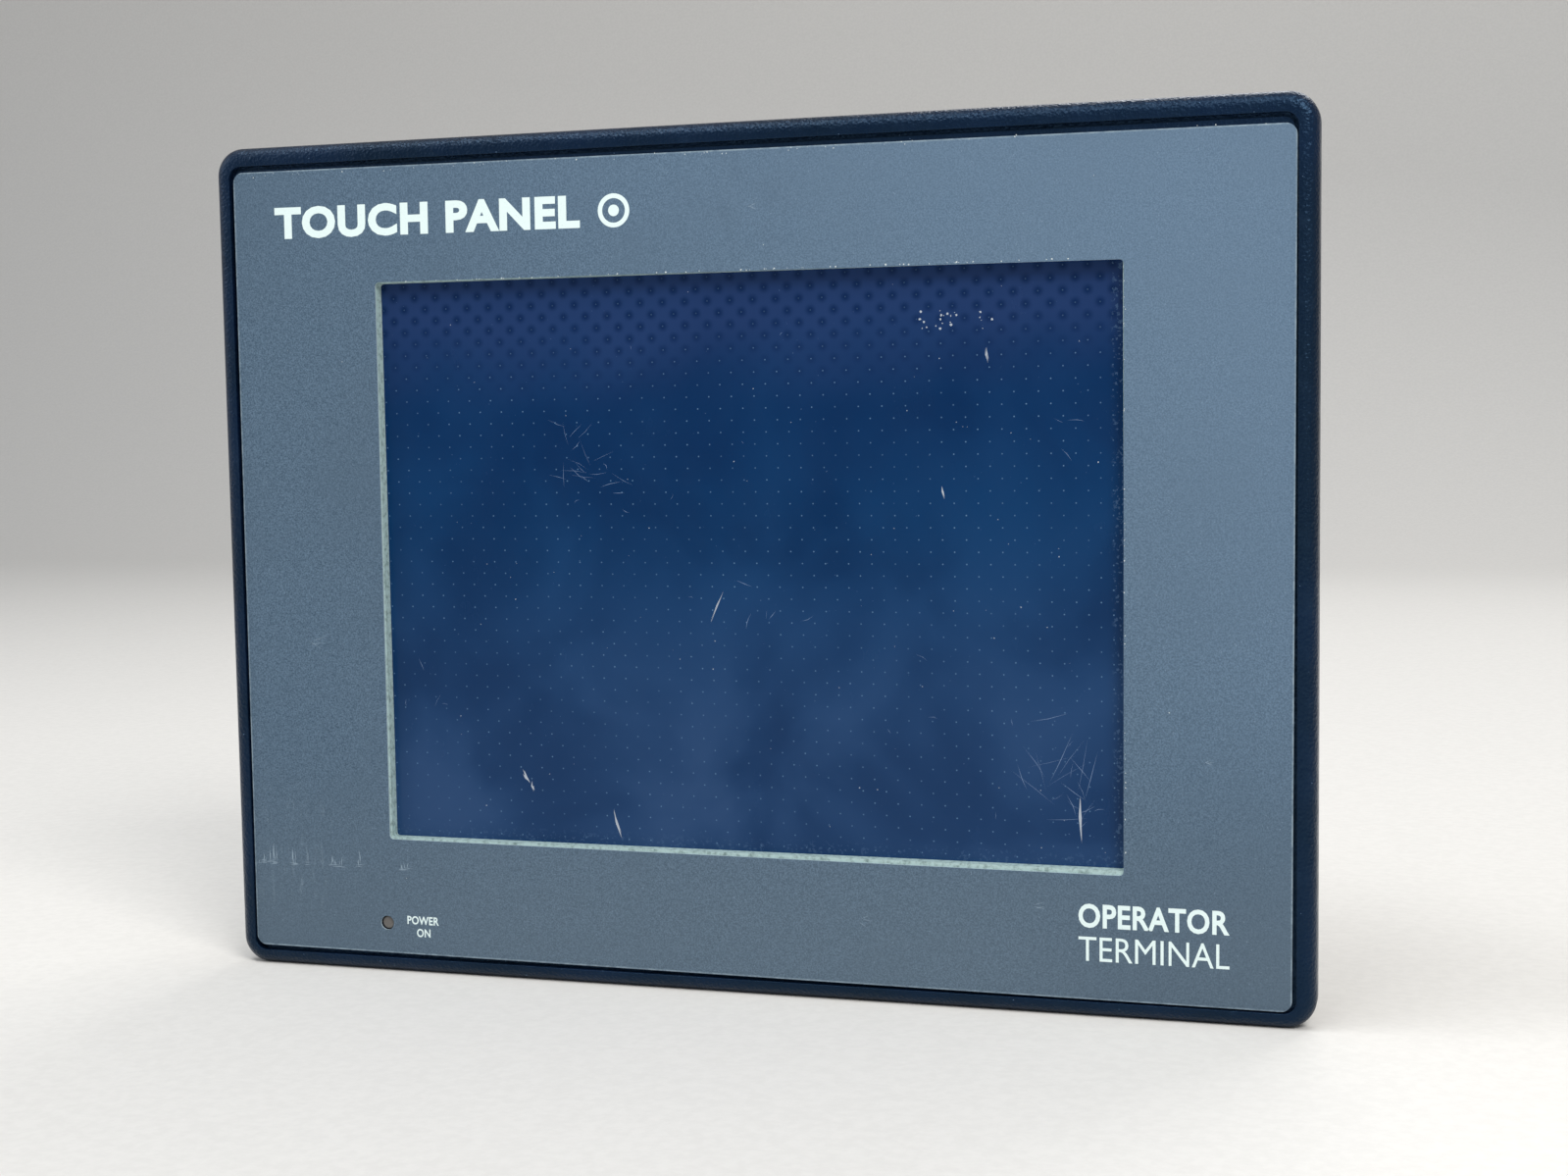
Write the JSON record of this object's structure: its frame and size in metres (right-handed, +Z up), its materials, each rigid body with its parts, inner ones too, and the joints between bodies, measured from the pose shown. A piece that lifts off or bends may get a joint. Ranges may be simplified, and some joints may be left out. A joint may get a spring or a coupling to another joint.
{
  "type": "hmi touch panel",
  "caption": "Panel-mount touch-screen operator terminal with a rounded frame, printed overlay, rear ports behind a step and screw clamps.",
  "frame": {"origin": "centre of the flange's seat plane, where the panel meets the front skin of a cabinet door", "axes": "+X to the right seen from the front, +Y into the cabinet, +Z up; the screen faces -Y"},
  "size_m": [0.317, 0.058, 0.243],
  "materials": {
    "bezel_plastic": "fine textured moulding",
    "overlay_print": "speckled printed polyester",
    "seal_pale": "matt moulding",
    "touch_film": "gloss hard coat with a grid of spacer dots",
    "touch_glass": "clear",
    "flex_lead": "amber film",
    "lens_clear": "polished",
    "gasket_rubber": "matt foam rubber",
    "plated_steel": "zinc plated",
    "lcd_glass": "dark",
    "clear_acrylic": "clear",
    "lamp_glass": "frosted",
    "circuit_board": "solder mask",
    "chip_black": "moulded",
    "aluminium": "extruded",
    "can_sleeve": "shrink sleeve",
    "ferrite": "ferrite core",
    "housing_plastic": "textured moulding",
    "label_blank": "silver label stock",
    "screw_steel": "zinc plated",
    "cover_clear": "clear moulding",
    "insulator_black": "moulded",
    "dip_red": "moulded",
    "knob_white": "moulded",
    "button_grey": "moulded",
    "clamp_zinc": "zinc die casting, passivated",
    "terminal_black": "moulded"
  },
  "bodies": {
    "root": {"front_bezel": "bezel_plastic", "front_overlay": "overlay_print", "window_seal": "seal_pale", "touch_film": "touch_film", "touch_glass": "touch_glass", "touch_tail": "flex_lead", "status_light_pipe": "lens_clear", "panel_gasket": "gasket_rubber", "lcd_frame": "plated_steel", "lcd_cell": "lcd_glass", "lcd_light_guide": "clear_acrylic", "lcd_back_plate": "plated_steel", "backlight_lamps": "lamp_glass", "chassis_plate": "plated_steel", "inner_screws": "screw_steel", "cover_standoffs": "screw_steel", "board_standoffs": "screw_steel", "main_board": "circuit_board", "processor_chip": "chip_black", "processor_heatsink": "aluminium", "memory_chips": "chip_black", "backup_battery": "plated_steel", "power_board": "circuit_board", "power_transformer": "ferrite", "power_capacitors": "can_sleeve", "inverter_board": "circuit_board", "inverter_transformer": "ferrite", "lcd_ribbon": "flex_lead", "rear_housing": "housing_plastic", "housing_screws": "screw_steel", "rating_label": "label_blank", "power_terminal_block": "terminal_black", "terminal_screws": "screw_steel", "comm_connector_shell": "plated_steel", "comm_connector_insulator": "insulator_black", "printer_connector_shell": "plated_steel", "printer_connector_insulator": "insulator_black", "jack_screws": "screw_steel", "tool_connector": "insulator_black", "service_bay_tub": "housing_plastic", "service_door_pin": "screw_steel", "expansion_connector": "insulator_black", "dip_switch_body": "dip_red", "reset_switch_base": "chip_black", "clamp_brackets": "clamp_zinc"},
    "clamp_foot_1": {"clamp_foot_1": "clamp_zinc"},
    "clamp_foot_2": {"clamp_foot_2": "clamp_zinc"},
    "clamp_foot_3": {"clamp_foot_3": "clamp_zinc"},
    "clamp_foot_4": {"clamp_foot_4": "clamp_zinc"},
    "clamp_screw_1": {"clamp_screw_1": "screw_steel"},
    "clamp_screw_2": {"clamp_screw_2": "screw_steel"},
    "clamp_screw_3": {"clamp_screw_3": "screw_steel"},
    "clamp_screw_4": {"clamp_screw_4": "screw_steel"},
    "dip_slider_1": {"dip_slider_1": "knob_white"},
    "dip_slider_2": {"dip_slider_2": "knob_white"},
    "dip_slider_3": {"dip_slider_3": "knob_white"},
    "dip_slider_4": {"dip_slider_4": "knob_white"},
    "reset_button": {"reset_button": "button_grey"},
    "service_door": {"service_door": "housing_plastic"},
    "terminal_cover": {"terminal_cover": "cover_clear"}
  },
  "joints": [
    {"name": "clamp_foot_1_slide", "type": "slide", "parent": "root", "child": "clamp_foot_1", "axis": [0, -1, 0], "range_m": [0, 0.0045]},
    {"name": "clamp_screw_1_turn", "type": "hinge", "parent": "clamp_foot_1", "child": "clamp_screw_1", "pos_m": [-0.075, 0.02, 0.1173], "axis": [0, -1, 0], "range_deg": [0, 2315.79]},
    {"name": "clamp_foot_2_slide", "type": "slide", "parent": "root", "child": "clamp_foot_2", "axis": [0, -1, 0], "range_m": [0, 0.0045]},
    {"name": "clamp_screw_2_turn", "type": "hinge", "parent": "clamp_foot_2", "child": "clamp_screw_2", "pos_m": [0.075, 0.02, 0.1173], "axis": [0, -1, 0], "range_deg": [0, 2315.79]},
    {"name": "clamp_foot_3_slide", "type": "slide", "parent": "root", "child": "clamp_foot_3", "axis": [0, -1, 0], "range_m": [0, 0.0045]},
    {"name": "clamp_screw_3_turn", "type": "hinge", "parent": "clamp_foot_3", "child": "clamp_screw_3", "pos_m": [-0.075, 0.02, -0.1173], "axis": [0, -1, 0], "range_deg": [0, 2315.79]},
    {"name": "clamp_foot_4_slide", "type": "slide", "parent": "root", "child": "clamp_foot_4", "axis": [0, -1, 0], "range_m": [0, 0.0045]},
    {"name": "clamp_screw_4_turn", "type": "hinge", "parent": "clamp_foot_4", "child": "clamp_screw_4", "pos_m": [0.075, 0.02, -0.1173], "axis": [0, -1, 0], "range_deg": [0, 2315.79]},
    {"name": "terminal_cover_hinge", "type": "hinge", "parent": "root", "child": "terminal_cover", "pos_m": [-0.11, 0.041, -0.086], "axis": [1, 0, 0], "range_deg": [0, 100]},
    {"name": "service_door_hinge", "type": "hinge", "parent": "root", "child": "service_door", "pos_m": [0.0245, 0.0474, 0.03], "axis": [0, 0, 1], "range_deg": [0, 110]},
    {"name": "dip_slider_1_slide", "type": "slide", "parent": "root", "child": "dip_slider_1", "axis": [0, 0, 1], "range_m": [0, 0.002]},
    {"name": "dip_slider_2_slide", "type": "slide", "parent": "root", "child": "dip_slider_2", "axis": [0, 0, 1], "range_m": [0, 0.002]},
    {"name": "dip_slider_3_slide", "type": "slide", "parent": "root", "child": "dip_slider_3", "axis": [0, 0, 1], "range_m": [0, 0.002]},
    {"name": "dip_slider_4_slide", "type": "slide", "parent": "root", "child": "dip_slider_4", "axis": [0, 0, 1], "range_m": [0, 0.002]},
    {"name": "reset_button_press", "type": "slide", "parent": "root", "child": "reset_button", "axis": [0, -1, 0], "range_m": [0, 0.001], "stiffness_N_per_m": 300, "springref_m": -0.001}
  ],
  "couplings": [
    {"joint": "clamp_screw_1_turn", "follows": "clamp_foot_1_slide", "rad_per_m": 8976},
    {"joint": "clamp_screw_2_turn", "follows": "clamp_foot_2_slide", "rad_per_m": 8976},
    {"joint": "clamp_screw_3_turn", "follows": "clamp_foot_3_slide", "rad_per_m": 8976},
    {"joint": "clamp_screw_4_turn", "follows": "clamp_foot_4_slide", "rad_per_m": 8976}
  ]
}
